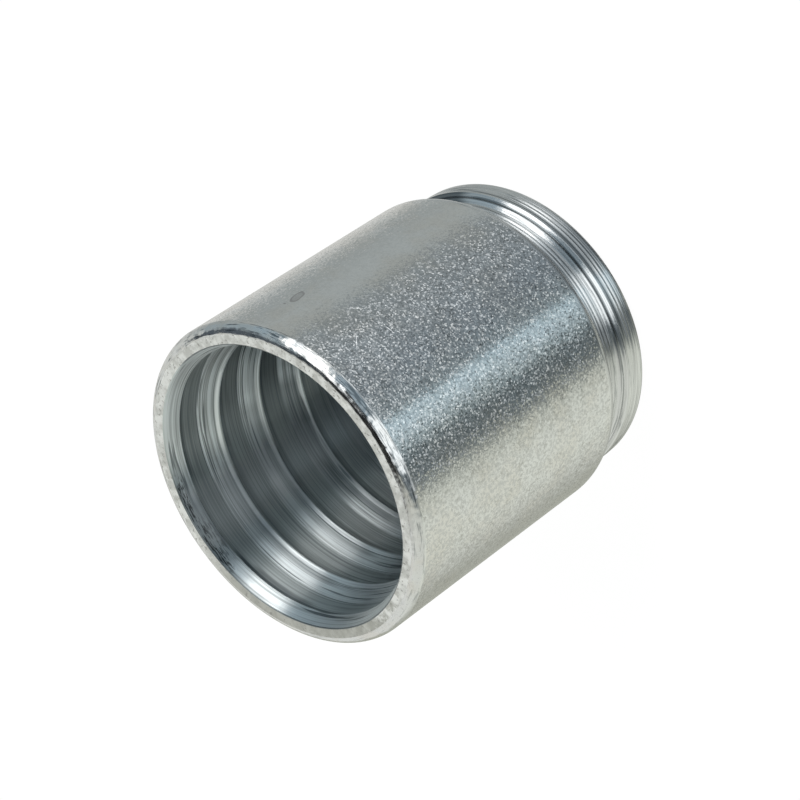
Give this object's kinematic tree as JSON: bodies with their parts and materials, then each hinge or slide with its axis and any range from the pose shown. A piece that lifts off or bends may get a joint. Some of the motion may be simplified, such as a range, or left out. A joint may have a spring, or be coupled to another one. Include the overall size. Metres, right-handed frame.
{
  "type": "crimp hose ferrule",
  "caption": "Turned steel crimp ferrule for a hydraulic hose: smooth cylindrical body with a ridged bore, and a grooved neck and collar round a smaller stem hole.",
  "frame": {"origin": "centre of the collar's end face, on which the ferrule stands", "axes": "+Z along the ferrule's axis from the collar end to the hose mouth; the part is round, so X and Y are free"},
  "size_m": [0.036, 0.036, 0.0392],
  "materials": {
    "plated_steel": "bright zinc plate over turned steel, satin on the body and glossier on the turned edges"
  },
  "bodies": {
    "root": {"ferrule": "plated_steel"}
  },
  "joints": []
}
